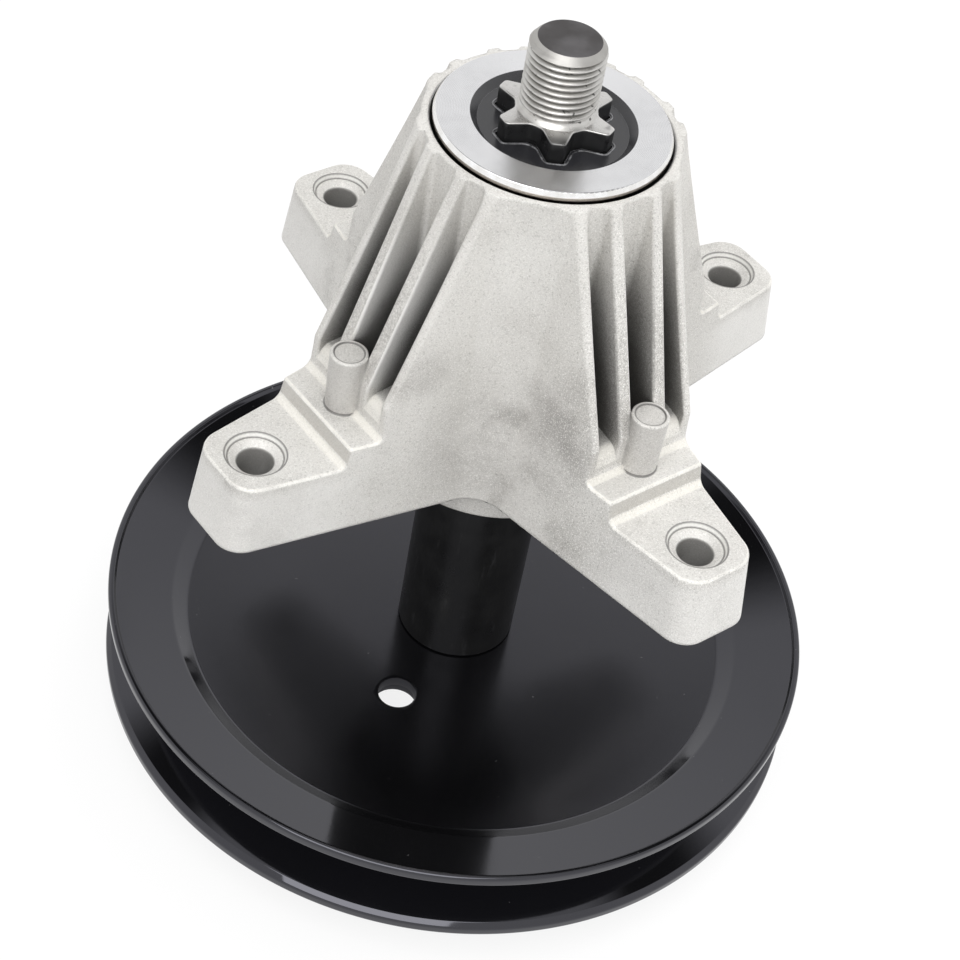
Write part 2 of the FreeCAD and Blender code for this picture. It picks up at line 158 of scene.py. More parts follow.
def grain(tree, where, scale, detail=2.0, stretch=(1, 1, 1), rough=0.5):
    """Noise of a given fineness, stretched along an axis where the tool marks run."""
    turn = tree.nodes.new("ShaderNodeMapping")
    turn.inputs["Scale"].default_value = stretch
    tree.links.new(where, turn.inputs["Vector"])
    noise = tree.nodes.new("ShaderNodeTexNoise")
    noise.inputs["Scale"].default_value = scale
    noise.inputs["Detail"].default_value = detail
    noise.inputs["Roughness"].default_value = rough
    tree.links.new(turn.outputs["Vector"], noise.inputs["Vector"])
    return noise.outputs["Fac"]


def tint(tree, factor, dark, light):
    """Colour between two finishes, by a factor."""
    mix = tree.nodes.new("ShaderNodeMix")
    mix.data_type = "RGBA"
    plug(tree, mix.inputs[0], factor)
    for socket, colour in ((mix.inputs[6], dark), (mix.inputs[7], light)):
        plug(tree, socket, colour if isinstance(colour, bpy.types.NodeSocket) else colour + (1,))
    return mix.outputs[2]


def relief(tree, surface, height, strength, distance):
    """Bump of a given depth in metres, laid over any bump that is there already."""
    bump = tree.nodes.new("ShaderNodeBump")
    bump.inputs["Strength"].default_value = strength
    bump.inputs["Distance"].default_value = distance
    tree.links.new(height, bump.inputs["Height"])
    if surface.inputs["Normal"].links:
        tree.links.new(surface.inputs["Normal"].links[0].from_socket, bump.inputs["Normal"])
    tree.links.new(bump.outputs["Normal"], surface.inputs["Normal"])


def edge_wear(tree, width, low, high):
    """How much the surface turns within a small width: 0 on a flat, 1 along an edge."""
    soft = tree.nodes.new("ShaderNodeBevel")
    soft.samples = 6
    plug(tree, soft.inputs["Radius"], width)
    true = tree.nodes.new("ShaderNodeNewGeometry")
    dot = tree.nodes.new("ShaderNodeVectorMath")
    dot.operation = "DOT_PRODUCT"
    tree.links.new(soft.outputs["Normal"], dot.inputs[0])
    tree.links.new(true.outputs["Normal"], dot.inputs[1])
    return between(tree, sum_of(tree, "SUBTRACT", 1.0, dot.outputs["Value"]), low, high)


def openness(tree, reach):
    """How open the surface is within a reach: 1 on a flat, low at the bottom of a groove."""
    node = tree.nodes.new("ShaderNodeAmbientOcclusion")
    node.samples = 12
    node.only_local = True
    node.inputs["Distance"].default_value = reach
    return node.outputs["AO"]


def dress(node, material):
    """Puts a finish on a machined piece."""
    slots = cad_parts[node].data.materials
    slots.clear()
    slots.append(material)


casting, tree, surface = finish("cast_aluminium", Metallic=0.3)
where, (x, y, z), radius = place_of(tree)
speckle = grain(tree, where, 3600, 2, rough=0.7)
sand = grain(tree, where, 1900, 3, rough=0.8)
clouds = grain(tree, where, 38, 4)
skin = tint(tree, between(tree, clouds, 0.35, 0.65), (0.61, 0.595, 0.565), (0.70, 0.685, 0.655))
# Dark blotches, strongest low down and near the neck.
dark_blotches = between(tree, grain(tree, where, 62, 4, rough=0.6), 0.52, 0.72)
low_down = between(tree, z, 24 * mm, 60 * mm, 1.0, 0.2)
near_neck = between(tree, radius, 36 * mm, 58 * mm, 0.62, 0.36)
skin = tint(tree, product(tree, dark_blotches, low_down, near_neck), skin, (0.30, 0.285, 0.265))


def tone_patch(tree, where, centre, reach):
    """Ragged patch round a place: 1 at its middle, 0 beyond its reach."""
    off = tree.nodes.new("ShaderNodeVectorMath")
    off.operation = "DISTANCE"
    tree.links.new(where, off.inputs[0])
    off.inputs[1].default_value = centre
    ragged = between(tree, grain(tree, where, 130, 4, rough=0.6), 0.32, 0.62, 0.35, 1.0)
    return product(tree, between(tree, off.outputs["Value"], 0.2 * reach, reach, 1.0, 0.0), ragged)


# Ragged patches of painted shade and painted light: darker on the panel's sides, low down and on the ears,
# lighter at the panel's top and in small places on the ears. Centres and reaches are in mm.
patch_shade_tone = (0.33, 0.315, 0.30)
patch_light_tone = (0.80, 0.79, 0.76)
for centre, reach, colour, share in (
        ((14, -35, 30), 16, patch_shade_tone, 0.78),
        ((-15, -35, 37), 8, patch_shade_tone, 0.42),
        ((-3, -30, 15), 18, patch_shade_tone, 0.42),
        ((27, -47, 9), 11, patch_shade_tone, 0.26),
        ((16, -37, 20), 15, patch_shade_tone, 0.36),
        ((-47, -57, 12.5), 7, patch_shade_tone, 0.30),
        ((34, -50, 12), 12, patch_shade_tone, 0.16),
        ((44, -44, 17), 24, patch_shade_tone, 0.15),
        ((-28, -47, 7), 24, patch_light_tone, 0.4),
        ((1, -27, 66), 17, patch_light_tone, 0.5),
        ((22, -42, 17), 6, patch_light_tone, 0.35)):
    patch = tone_patch(tree, where, [side * mm for side in centre], reach * mm)
    skin = tint(tree, product(tree, patch, share), skin, colour)


def distance_from(tree, x, y, centre):
    """Distance from the nearest of four centres that mirror one another in the two axes."""
    along = sum_of(tree, "SUBTRACT", sum_of(tree, "ABSOLUTE", x), centre)
    across = sum_of(tree, "SUBTRACT", sum_of(tree, "ABSOLUTE", y), centre)
    square = sum_of(tree, "ADD", product(tree, along, along), product(tree, across, across))
    return sum_of(tree, "SQRT", square)


from_bolt = distance_from(tree, x, y, bolt_centre)
from_boss = distance_from(tree, x, y, boss_centre)

# Walls that face one way round are treated as lit and those that face the other as shaded, for the
# painted light and painted shade below. The rib fans get a greyer, coarser painted shade than the
# panels, strongest on their shaded walls and fading out towards the rim.
facing = tree.nodes.new("ShaderNodeSeparateXYZ")
tree.links.new(tree.nodes.new("ShaderNodeNewGeometry").outputs["Normal"], facing.inputs[0])
facing_x, facing_y, facing_z = facing.outputs
swirl = sum_of(tree, "SUBTRACT", product(tree, x, facing_y), product(tree, y, facing_x))
swirl = sum_of(tree, "DIVIDE", swirl, radius)
lit_wall = between(tree, swirl, 0.2, 0.6)
shaded_wall = between(tree, swirl, -0.6, -0.2, 1.0, 0.0)
from_corner = apart(tree, sum_of(tree, "ABSOLUTE", x), sum_of(tree, "ABSOLUTE", y))
in_fan = product(tree, between(tree, from_corner, fan_half, fan_half + 3 * mm, 1.0, 0.0),
                 between(tree, z, fan_base, fan_base + 4 * mm),
                 between(tree, z, 48 * mm, 68 * mm, 1.0, 0.1),
                 between(tree, from_boss, boss_radius, boss_radius + 0.7 * mm))
fan_painted_shade = product(tree, between(tree, grain(tree, where, 1250, 3, rough=0.7), 0.36, 0.62, 0.52, 0.06),
                 between(tree, lit_wall, 0.0, 1.0, 1.0, 0.25))
skin = tint(tree, product(tree, in_fan, fan_painted_shade), skin, (0.30, 0.285, 0.27))
gritty = product(tree, between(tree, x, 6 * mm, 24 * mm), between(tree, y, -24 * mm, -6 * mm, 0.7, 0.0),
                 between(tree, facing_z, 0.55, 0.85, 1.0, 0.0))
gritty = sum_of(tree, "ADD", gritty, 1.0)
dark_grit = product(tree, gritty, between(tree, sand, 0.5, 0.28, 0.0, 0.5))
skin = tint(tree, dark_grit, skin, (0.27, 0.26, 0.24))
pale_grit = product(tree, gritty, between(tree, speckle, 0.48, 0.72, 0.0, 0.6))
skin = tint(tree, pale_grit, skin, (0.93, 0.92, 0.89))

# Painted light whitens the outer ears and the fans' lit walls, painted shade darkens their shaded walls, and
# deep in a fan's grooves painted shade darkens the skin.
ear_painted_light = product(tree, between(tree, radius, ear_start, ear_end),
                    between(tree, z, 13 * mm, 16 * mm, 0.36, 0.0))
skin = tint(tree, ear_painted_light, skin, (0.88, 0.87, 0.85))
skin = tint(tree, product(tree, shaded_wall, in_fan, 0.36), skin, (0.16, 0.155, 0.15))
skin = tint(tree, product(tree, lit_wall, in_fan, 0.75), skin, (0.92, 0.91, 0.89))
groove_shade_onset = sum_of(tree, "ADD", between(tree, lit_wall, 0.0, 1.0, 0.54, 0.43), product(tree, shaded_wall, 0.06))
groove_painted_shade = product(tree, between(tree, openness(tree, groove_reach), 0.14, groove_shade_onset, 1.0, 0.0),
               between(tree, z, fan_base - 3 * mm, fan_base),
               between(tree, z, 40 * mm, 74 * mm, 1.0, 0.2), 0.92)
skin = tint(tree, groove_painted_shade, skin, (0.045, 0.043, 0.038))


def level_band(tree, z, middle, half):
    """1 within a half height of a level, fading to 0 just beyond."""
    return between(tree, apart(tree, z, middle), half, half * 1.25, 1.0, 0.0)


# Edges are painted bright in chips of uneven width: rubbed wear along every edge, and painted highlight along
# the pad and ledge edges.
rounded = product(tree, between(tree, facing_z, 0.2, 0.45), between(tree, facing_z, 0.9, 0.99, 1.0, 0.0))
step_highlight = greatest(tree, level_band(tree, z, pad_edge, 0.42 * mm), level_band(tree, z, ledge_edge, 0.42 * mm))
chipped = between(tree, grain(tree, where, 520, 3, rough=0.7), 0.36, 0.66, 0.15 * mm, 0.8 * mm)
wear_and_highlight = greatest(tree, edge_wear(tree, chipped, 0.01, 0.08), product(tree, rounded, step_highlight))
wear_and_highlight = product(tree, wear_and_highlight, between(tree, sand, 0.3, 0.5),
                 between(tree, grain(tree, where, 300, 3), 0.36, 0.62, 0.35, 1.0), 0.52)
skin = tint(tree, wear_and_highlight, skin, (0.92, 0.905, 0.86))


def ring_line(tree, distance, reach, width):
    """Thin ring at one distance from a centre."""
    return between(tree, apart(tree, distance, reach), width * 0.4, width, 1.0, 0.0)


# Fine dark rings of painted shade stand in the steps round the bolt holes and pin marks and at the bosses'
# feet, with painted highlight on the spotface wall. The bosses' sides are darker, and painted shade fills the
# bolt holes.
ring_width = 0.26 * mm
on_pad = sum_of(tree, "GREATER_THAN", z, 15 * mm)
spotface_highlight = product(tree, ring_line(tree, from_bolt, spotface_wall, 0.3 * mm), on_pad, 0.7)
skin = tint(tree, spotface_highlight, skin, (0.92, 0.91, 0.88))
shade_rings = greatest(tree, ring_line(tree, from_bolt, spotface_edge, ring_width),
                       ring_line(tree, from_bolt, spotface_floor, ring_width),
                       ring_line(tree, from_boss, pin_mark, ring_width))
boss_side = product(tree, between(tree, from_boss, boss_radius, boss_radius + 0.4 * mm, 1.0, 0.0),
                    between(tree, z, boss_top, boss_top + 0.3 * mm, 1.0, 0.0),
                    between(tree, z, boss_base - 0.2 * mm, boss_base), 0.38)
skin = tint(tree, boss_side, skin, (0.40, 0.385, 0.37))
boss_foot_shade = product(tree, between(tree, from_boss, boss_radius - 0.3 * mm, boss_radius - 0.05 * mm, 1.0, 0.0),
                    level_band(tree, z, boss_base, 0.28 * mm))
painted_shade_lines = product(tree, greatest(tree, product(tree, shade_rings, on_pad), boss_foot_shade), 0.72)
skin = tint(tree, painted_shade_lines, skin, (0.12, 0.115, 0.11))
hole_painted_shade = between(tree, from_bolt, bolt_hole, bolt_hole + 0.3 * mm, 0.78, 0.0)
skin = tint(tree, hole_painted_shade, skin, (0.20, 0.195, 0.185))

# The ears' lips that slope up are painted warm and bright as painted light, their steep risers are painted
# darker as painted shade, and a broken seam runs round the neck.
sloping = product(tree, between(tree, facing_z, 0.3, 0.5), between(tree, facing_z, 0.93, 0.99, 1.0, 0.0))
lit_lip_zone = greatest(tree, level_band(tree, z, ledge_lip, 3.0 * mm), level_band(tree, z, pad_lip, 0.75 * mm))
skin = tint(tree, product(tree, sloping, lit_lip_zone, 0.42), skin, (0.90, 0.87, 0.79))
steep = product(tree, between(tree, facing_z, 0.25, 0.32, 1.0, 0.0), between(tree, facing_z, 0.12, 0.18))
riser_painted_shade = product(tree, steep, level_band(tree, z, pad_riser, 1.6 * mm), 0.55)
skin = tint(tree, riser_painted_shade, skin, (0.42, 0.40, 0.365))
seam = product(tree, level_band(tree, z, deck_plane + 0.05 * mm, 0.16 * mm),
               between(tree, radius, 32 * mm, 34 * mm, 1.0, 0.0),
               between(tree, grain(tree, where, 420, 3), 0.5, 0.62), 0.75)
skin = tint(tree, seam, skin, (0.10, 0.095, 0.09))

# The bores, the pilot and the deck faces are bare metal with fine tool marks.
bored = product(tree, sum_of(tree, "LESS_THAN", radius, mouth_radius),
                sum_of(tree, "LESS_THAN", z, rim_plane - 0.1 * mm))
milled = product(tree, sum_of(tree, "LESS_THAN", z, deck_plane + 0.02 * mm),
                 sum_of(tree, "GREATER_THAN", radius, pilot_radius))
milled = greatest(tree, milled, sum_of(tree, "LESS_THAN", z, pilot_end))
machined = greatest(tree, bored, milled)
tool_marks = grain(tree, where, 900, 2, (1, 0.04, 1))
bare = tint(tree, tool_marks, (0.44, 0.44, 0.44), (0.62, 0.62, 0.61))
plug(tree, surface.inputs["Base Color"], tint(tree, machined, skin, bare))
dull = between(tree, speckle, 0.3, 0.7, 0.58, 0.40)
plug(tree, surface.inputs["Roughness"], sum_of(tree, "SUBTRACT", dull, product(tree, machined, 0.2)))
rough_part = sum_of(tree, "SUBTRACT", 1.0, machined)
cast_edges = tree.nodes.new("ShaderNodeBevel")
cast_edges.samples = 4
cast_edges.inputs["Radius"].default_value = 0.9 * mm
tree.links.new(cast_edges.outputs["Normal"], surface.inputs["Normal"])
relief(tree, surface, grain(tree, where, 240, 2), 0.3, 0.3 * mm)
relief(tree, surface, product(tree, sand, rough_part), 0.55, 0.3 * mm)
relief(tree, surface, product(tree, speckle, rough_part), 0.45, 0.16 * mm)
dress("spindle_housing", casting)

# The two bearings: hardened rings and balls ground bright, a moulded nylon
# cage, and black rubber seals with moulded rings, pressed into the housing.
ring_steel, tree, surface = finish("bearing_steel", Metallic=1.0)
where, (x, y, z), radius = place_of(tree)
ground = grain(tree, where, 700, 2, (0.2, 0.2, 6))
plug(tree, surface.inputs["Base Color"], tint(tree, ground, (0.58, 0.58, 0.59), (0.72, 0.72, 0.72)))
plug(tree, surface.inputs["Roughness"], between(tree, ground, 0.3, 0.7, 0.16, 0.3))
relief(tree, surface, ground, 0.08, 0.05 * mm)

cage_nylon, tree, surface = finish("cage_nylon", Specular_IOR_Level=0.4)
where, (x, y, z), radius = place_of(tree)
fibre = grain(tree, where, 900, 3)
plug(tree, surface.inputs["Base Color"], tint(tree, fibre, (0.30, 0.26, 0.18), (0.42, 0.37, 0.27)))
plug(tree, surface.inputs["Roughness"], between(tree, fibre, 0.3, 0.7, 0.4, 0.55))
relief(tree, surface, fibre, 0.15, 0.05 * mm)

seal_rubber, tree, surface = finish("seal_rubber")
where, (x, y, z), radius = place_of(tree)
moulded = between(tree, sum_of(tree, "SINE", product(tree, radius, 2 * math.pi / (2.1 * mm))), -1.0, 1.0)
dust = grain(tree, where, 500, 4)
plug(tree, surface.inputs["Base Color"], tint(tree, dust, (0.012, 0.012, 0.012), (0.035, 0.034, 0.033)))
plug(tree, surface.inputs["Roughness"], between(tree, dust, 0.3, 0.7, 0.5, 0.75))
relief(tree, surface, moulded, 0.5, 0.25 * mm)
relief(tree, surface, dust, 0.15, 0.05 * mm)

for bearing in ("upper_bearing_", "lower_bearing_"):
    dress(bearing + "outer_ring", ring_steel)
    dress(bearing + "inner_ring", ring_steel)
    dress(bearing + "balls", ring_steel)
    dress(bearing + "cage", cage_nylon)
    dress(bearing + "top_seal", seal_rubber)
    dress(bearing + "bottom_seal", seal_rubber)

# The spacers: plain steel tube inside the housing, and a black oxide tube
# from the lower bearing down to the pulley. Both are cut and faced on a lathe.
drawn_steel, tree, surface = finish("drawn_steel", Metallic=1.0)
where, (x, y, z), radius = place_of(tree)
drawn = grain(tree, where, 500, 3, (4, 4, 0.1))
plug(tree, surface.inputs["Base Color"], tint(tree, drawn, (0.40, 0.395, 0.38), (0.56, 0.55, 0.53)))
plug(tree, surface.inputs["Roughness"], between(tree, drawn, 0.3, 0.7, 0.28, 0.45))
relief(tree, surface, drawn, 0.1, 0.05 * mm)
dress("inner_spacer", drawn_steel)

black_oxide, tree, surface = finish("black_oxide", Specular_IOR_Level=0.4)
where, (x, y, z), radius = place_of(tree)
blotch = grain(tree, where, 160, 4)
scuff = between(tree, grain(tree, where, 420, 4, (1, 1, 0.25)), 0.62, 0.74)
coat = tint(tree, blotch, (0.003, 0.003, 0.003), (0.009, 0.009, 0.009))
coat = tint(tree, product(tree, scuff, 0.25), coat, (0.06, 0.06, 0.062))
coat = tint(tree, edge_wear(tree, 0.3 * mm, 0.02, 0.15), coat, (0.05, 0.05, 0.052))
plug(tree, surface.inputs["Base Color"], coat)
plug(tree, surface.inputs["Roughness"], between(tree, blotch, 0.3, 0.7, 0.27, 0.42))
relief(tree, surface, grain(tree, where, 900, 2), 0.06, 0.05 * mm)
dress("outer_spacer", black_oxide)

# The shaft: turned from steel bar, with a right-hand thread cut at each end,
# a ground journal, a collar, and two flats where the pulley sits. Its blade
# end is bright, and the end face is left dark from the saw and the furnace.
shaft_end = -94.0
web_bottom = -73.82
web_top = -68.5
journal_low = -67.5
collar_low = 69.95
collar_top = 72.95
star_top = 82.85
shaft_tip = 99.05
journal_radius = 10.0
collar_radius = 14.0
thread_radius = 7.94
thread_pitch = 1.411
thread_depth = 0.80
crest_share = 0.14
flank_share = 0.80
root_rounding = 0.45
tip_radius = 6.43
flat_half = 6.5
neck_radius = 7.15
neck_top = 83.9
flare_radius = 8.2
bevel_height = 1.5
thread_stop = 1.3
journal_chamfer = 0.4
collar_chamfer = 0.3
thread_run_in = 0.9
neck_run = 0.5
neck_zone = 0.8
face_start = 0.4
row_gap = 0.05
threads_middle = 8.2
threads_begin = 76.3
shaft_columns = 112
crease = 38


def made_piece(name, points, faces, crease):
    """New piece from points in mm and faces, smooth but for edges that turn more than the crease."""
    mesh = bpy.data.meshes.new(name)
    mesh.from_pydata((points * mm).tolist(), [], faces)
    mesh.polygons.foreach_set("use_smooth", np.ones(len(mesh.polygons), dtype=bool))
    mesh.set_sharp_from_angle(angle=math.radians(crease))
    mesh.update()
    piece = bpy.data.objects.new(name, mesh)
    bpy.context.scene.collection.objects.link(piece)
    return piece


def skin_over(name, rows, foot, head):
    """Closed surface over a stack of closed rings.

    Vertex (i, j) is point j of ring i. Each quad joins rings i and i + 1 between points j and
    j + 1, counted round, and a fan of triangles closes the lowest ring on the foot point and
    the highest on the head point.
    """
    count, around = rows.shape[:2]
    points = np.concatenate([rows.reshape(-1, 3), np.array([foot, head], float)])
    index = np.arange(count * around).reshape(count, around)
    ahead = np.roll(index, -1, axis=1)
    quads = np.stack([index[:-1], ahead[:-1], ahead[1:], index[1:]], axis=-1).reshape(-1, 4)
    low_fan = np.stack([ahead[0], index[0], np.full(around, count * around)], axis=-1)
    high_fan = np.stack([index[-1], ahead[-1], np.full(around, count * around + 1)], axis=-1)
    return made_piece(name, points, quads.tolist() + low_fan.tolist() + high_fan.tolist(), crease)


def threaded_radius(height, turn, plain, amount):
    """Radius of a right-hand thread on a plain turned outline.

    The phase is the height in pitches less the turn in whole turns. A triangle wave of the
    phase, clipped to a flat crest and a rounded root, gives how deep the cut is, and the
    amount fades the cut in and out at the thread's ends.
    """
    phase = height / thread_pitch - turn / (2 * np.pi)
    wave = np.abs(2 * (phase - np.floor(phase)) - 1)
    cut = np.clip((wave - crest_share) / flank_share, 0, 1)
    cut = (1 - root_rounding) * cut + root_rounding * cut * cut * (3 - 2 * cut)
    return plain - thread_depth * amount * cut


def stretch_of(low, high, low_radius, high_radius, count, threaded=0.0):
    """Rows of a straight length of the outline: height, radius and how far it is threaded."""
    return np.stack([np.linspace(low, high, count), np.linspace(low_radius, high_radius, count),
                     np.full(count, threaded)], axis=-1)


flare = np.linspace(0, np.pi / 2, 8)
flare_rows = np.stack([
    star_top + (neck_top - star_top) * np.sin(flare),
    neck_radius + (flare_radius - neck_radius) * (1 - np.sin(flare)) ** 1.6,
    np.zeros(8)], axis=-1)
outline = np.concatenate([
    stretch_of(shaft_end, shaft_end + bevel_height, tip_radius, thread_radius, 22, 1.0),
    stretch_of(shaft_end + bevel_height + row_gap, journal_low - thread_stop - 2 * row_gap,
               thread_radius, thread_radius, 300, 1.0),
    stretch_of(journal_low - thread_stop, journal_low, thread_radius, thread_radius, 3),
    stretch_of(journal_low, journal_low, thread_radius + face_start, journal_radius - journal_chamfer, 3),
    stretch_of(journal_low + journal_chamfer, collar_low, journal_radius, journal_radius, 12),
    stretch_of(collar_low, collar_low, journal_radius + face_start, collar_radius - collar_chamfer, 3),
    stretch_of(collar_low + collar_chamfer, collar_top - collar_chamfer, collar_radius, collar_radius, 4),
    stretch_of(collar_top, collar_top, collar_radius - collar_chamfer, flare_radius, 3),
    stretch_of(collar_top + face_start, star_top - row_gap, flare_radius, flare_radius, 4),
    flare_rows,
    stretch_of(neck_top + 2 * row_gap, shaft_tip - bevel_height, thread_radius, thread_radius, 190, 1.0),
    stretch_of(shaft_tip - bevel_height + row_gap, shaft_tip, thread_radius, tip_radius, 22, 1.0)])
height, plain, threaded = np.split(outline, 3, axis=1)
turn = np.linspace(0, 2 * np.pi, shaft_columns, endpoint=False)[None, :]
start = np.clip((height - neck_top) / thread_run_in, 0, 1) * (height > neck_top) + (height < journal_low)
bevel_low = tip_radius + np.clip(height - shaft_end, 0, None)
bevel_high = tip_radius + np.clip(shaft_tip - height, 0, None)
deep = threaded_radius(height, turn, thread_radius, threaded * np.clip(start, 0, 1))
shape = np.where(threaded > 0, np.minimum(deep, np.minimum(bevel_low, bevel_high)), plain)
neck_blend = np.clip((height - neck_top - 2 * row_gap) / neck_run, 0, 1)
shape = np.where((height > neck_top) & (height < neck_top + neck_zone),
                 neck_radius + (shape - neck_radius) * neck_blend, shape)
across = shape * np.sin(turn)
on_flats = (height > web_bottom) & (height < web_top)
across = np.where(on_flats, np.clip(across, -flat_half, flat_half), across)
rings = np.stack([shape * np.cos(turn), across, np.broadcast_to(height, shape.shape)], axis=-1)
turned_shaft = skin_over("turned_shaft", rings, (0, 0, shaft_end), (0, 0, shaft_tip))

bright_steel, tree, surface = finish("bright_steel", Metallic=0.9)
where, (x, y, z), radius = place_of(tree)
lathe_lines = grain(tree, where, 900, 3, (0.3, 0.3, 5))
tarnish = grain(tree, where, 210, 4)
steel = tint(tree, lathe_lines, (0.46, 0.45, 0.43), (0.66, 0.65, 0.63))
steel = tint(tree, between(tree, tarnish, 0.5, 0.75, 0.0, 0.45), steel, (0.34, 0.325, 0.30))
# The thread's roots are painted darker: painted shade.
root_painted_shade = between(tree, radius, (thread_radius - thread_depth) * mm, (thread_radius - 0.25) * mm, 0.85, 0.0)
in_thread = sum_of(tree, "GREATER_THAN", apart(tree, z, threads_middle * mm), threads_begin * mm)
steel = tint(tree, product(tree, root_painted_shade, in_thread), steel, (0.13, 0.125, 0.115))
grime = between(tree, grain(tree, where, 650, 2), 0.66, 0.72)
steel = tint(tree, product(tree, grime, 0.8), steel, (0.02, 0.02, 0.02))
on_bevel = sum_of(tree, "GREATER_THAN", z, (shaft_tip - bevel_height) * mm)
steel = tint(tree, on_bevel, steel, tint(tree, tarnish, (0.31, 0.30, 0.285), (0.53, 0.52, 0.50)))
end_face = sum_of(tree, "GREATER_THAN", z, (shaft_tip - 0.06) * mm)
scale = between(tree, grain(tree, where, 120, 3), 0.35, 0.65)
furnace = tint(tree, scale, (0.095, 0.090, 0.090), (0.150, 0.144, 0.148))
plug(tree, surface.inputs["Base Color"], tint(tree, end_face, steel, furnace))
shine = between(tree, tarnish, 0.3, 0.7, 0.26, 0.42)
plug(tree, surface.inputs["Roughness"], sum_of(tree, "ADD", shine, product(tree, on_bevel, 0.18)))
relief(tree, surface, lathe_lines, 0.12, 0.05 * mm)
turned_shaft.data.materials.append(bright_steel)
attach(turned_shaft, "rotor")
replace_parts(turned_shaft, "spindle_shaft")

# The star on the shaft: six teeth left standing when the shaft is milled, which
# drive the blade. Its flanks are black and its top is faced bright.
star_points = 6
star_turn = math.radians(-81.5)
star_tip = 12.7
star_tip_half = 1.5
star_root = 8.0
star_root_half = 3.1
star_corner = 0.75
star_edge = 0.35
flank_ring = 2.0


def sides_of(corners, before, after):
    """Unit directions from each corner back to the point before it, and on to the one after."""
    back = (before - corners) / np.linalg.norm(before - corners, axis=1)[:, None]
    onward = (after - corners) / np.linalg.norm(after - corners, axis=1)[:, None]
    return back, onward


def bridged(corners, back, onward, cut, count):
    """Rounded corners.

    A corner is cut back by a length along both of its sides and bridged by a quadratic curve
    whose middle control is the corner.
    """
    step = np.linspace(0, 1, count)[None, :, None]
    bridge = corners[:, None] + cut * (back[:, None] * (1 - step) ** 2 + onward[:, None] * step ** 2)
    return bridge.reshape(-1, 2)


def star_ring(height, inset, corner):
    """Outline of the star at a height, drawn in by an inset.

    Each tooth has four rounded corners, root, tip, tip and root, and each is a length along the
    tooth's heading and a length to the side of it.
    """
    along = np.array([star_root, star_tip, star_tip, star_root]) - inset
    aside = np.array([-star_root_half, -star_tip_half, star_tip_half, star_root_half])
    aside = aside - np.sign(aside) * inset
    heading = (star_turn + np.arange(star_points) * 2 * np.pi / star_points)[:, None]
    corners = np.stack([along * np.cos(heading) - aside * np.sin(heading),
                        along * np.sin(heading) + aside * np.cos(heading)], axis=-1).reshape(-1, 2)
    back, onward = sides_of(corners, np.roll(corners, 1, axis=0), np.roll(corners, -1, axis=0))
    flat = bridged(corners, back, onward, corner, 6)
    return np.column_stack([flat, np.full(len(flat), height)])


star_rows = [star_ring(collar_top, 0.0, star_corner), star_ring(star_top - flank_ring, 0.0, star_corner)]
for lean in np.linspace(0, math.pi / 2, 5):
    below_top = star_edge * (1 - math.sin(lean))
    star_rows.append(star_ring(star_top - below_top, star_edge * (1 - math.cos(lean)), star_corner))
drive_star = skin_over("drive_star", np.stack(star_rows), (0, 0, collar_top), (0, 0, star_top))

star_finish, tree, surface = finish("star_steel")
where, (x, y, z), radius = place_of(tree)
faced = between(tree, z, (star_top - 0.28) * mm, (star_top - 0.05) * mm)
smear = grain(tree, where, 330, 4)
front_stain = between(tree, y, -11.6 * mm, -8.6 * mm, 0.75, 0.0)
stain = greatest(tree, front_stain, between(tree, smear, 0.55, 0.7, 0.0, 0.5))
bright_top = tint(tree, smear, (0.50, 0.49, 0.48), (0.74, 0.73, 0.71))
bright_top = tint(tree, stain, bright_top, (0.10, 0.10, 0.10))
black_flank = tint(tree, smear, (0.004, 0.004, 0.004), (0.014, 0.014, 0.015))
plug(tree, surface.inputs["Base Color"], tint(tree, faced, black_flank, bright_top))
plug(tree, surface.inputs["Metallic"], product(tree, faced, 0.85))
plug(tree, surface.inputs["Roughness"], between(tree, smear, 0.3, 0.7, 0.24, 0.4))
relief(tree, surface, smear, 0.2, 0.1 * mm)
drive_star.data.materials.append(star_finish)
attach(drive_star, "rotor")
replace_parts(drive_star, "spindle_shaft")

# The burr round the hub's star hole: a fine raised lip that the broach leaves,
# black like the dish it stands on, and painted lighter grey in patches, partly as rubbed wear and
# partly as painted highlight.
dish_floor = 78.45
lip_offset = -0.62
lip_size = 0.2
lip_lift = 0.02
lip_corner = 1.1
lip_sides = 10


def carried_round(path, section):
    """Closed tube: a closed flat section carried round a closed level path.

    At each point of the path the section's first axis is the level normal, which is the path's
    direction turned a quarter, and its second axis is up. Vertex (i, j) is path point i plus
    section point j on those two axes.
    """
    ahead = np.roll(path, -1, axis=0) - np.roll(path, 1, axis=0)
    normal = np.column_stack([ahead[:, 1], -ahead[:, 0]])
    normal = normal / np.linalg.norm(normal, axis=1)[:, None]
    level = path[:, None, :2] + normal[:, None] * section[None, :, :1]
    height = path[:, None, 2:] + section[None, :, 1:]
    return np.concatenate([level, height], axis=-1)


def skin_round(name, rows):
    """Closed ring-shaped surface: quads between neighbours, counted round in both directions."""
    index = np.arange(rows.shape[0] * rows.shape[1]).reshape(rows.shape[:2])
    ahead = np.roll(index, -1, axis=0)
    quads = np.stack([index, ahead, np.roll(ahead, -1, axis=1), np.roll(index, -1, axis=1)], axis=-1)
    return made_piece(name, rows.reshape(-1, 3), quads.reshape(-1, 4).tolist(), 180)


